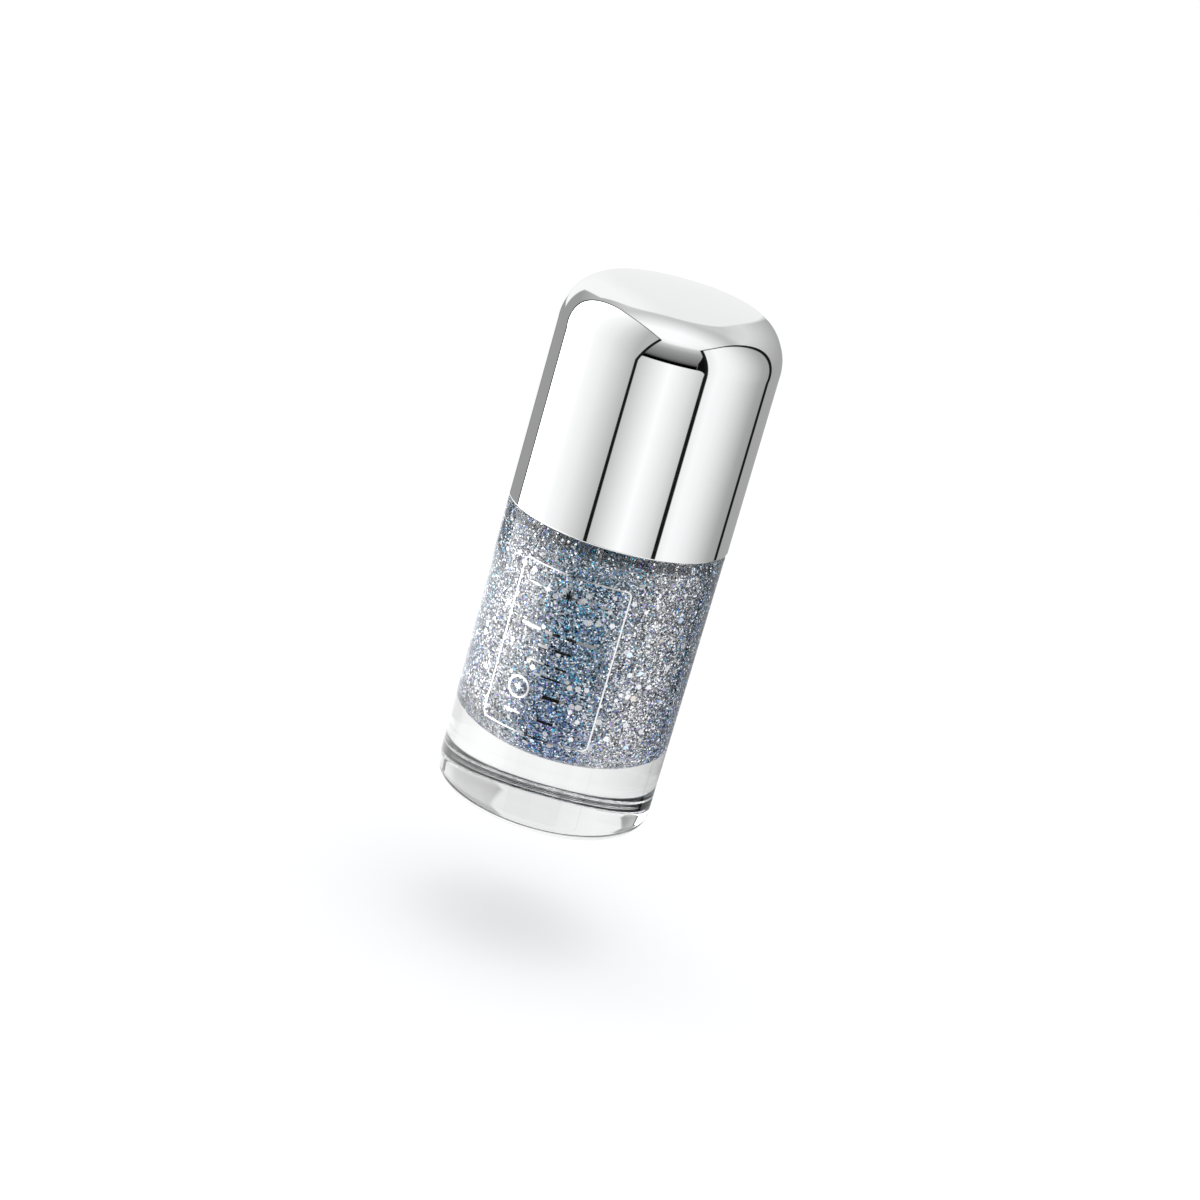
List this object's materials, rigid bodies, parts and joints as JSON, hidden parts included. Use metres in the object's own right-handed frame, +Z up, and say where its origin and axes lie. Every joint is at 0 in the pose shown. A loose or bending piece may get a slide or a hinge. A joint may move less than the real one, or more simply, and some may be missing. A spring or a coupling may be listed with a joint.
{
  "type": "nail polish bottle",
  "caption": "Round clear-glass nail polish bottle, thick base, glitter lacquer, tall domed mirror-chrome screw cap with the brush on it.",
  "frame": {"origin": "centre of the base, in the plane of the ring that it stands on", "axes": "+Z up along the bottle's axis, towards the cap; -Y out of the printed front"},
  "size_m": [0.027, 0.027, 0.0656],
  "materials": {
    "glass": "clear flint glass, fire-polished",
    "glitter_lacquer": "liquid lacquer dense with silver and blue glitter",
    "ball_steel": "stainless steel",
    "foil": "hot-stamped mirror-silver foil",
    "liner_plastic": "soft foamed polyethylene",
    "cap_chrome": "mirror-chrome plating on moulded plastic",
    "closure_plastic": "natural white polypropylene",
    "stem_plastic": "black polyethylene",
    "bristles": "nylon filaments"
  },
  "bodies": {
    "bottle": {"glass_bottle": "glass", "polish": "glitter_lacquer", "glitter_flakes": "glitter_lacquer", "mixing_balls": "ball_steel", "foil_frame": "foil", "foil_marks": "foil"},
    "liner": {"sealing_liner": "liner_plastic"},
    "cap": {"overcap": "cap_chrome", "inner_cap": "closure_plastic", "brush_stem": "stem_plastic", "bristle_staple": "ball_steel", "bristle_tuft": "bristles"}
  },
  "joints": [
    {"name": "cap_lift", "type": "slide", "parent": "bottle", "child": "liner", "axis": [0, 0, 1], "range_m": [0, 0.0382]},
    {"name": "cap_turn", "type": "hinge", "parent": "liner", "child": "cap", "pos_m": [0, 0, 0.0367], "axis": [0, 0, 1], "range_deg": [0, 6480]}
  ],
  "couplings": [
    {"joint": "cap_lift", "follows": "cap_turn", "m_per_rad": 0.00033688}
  ]
}
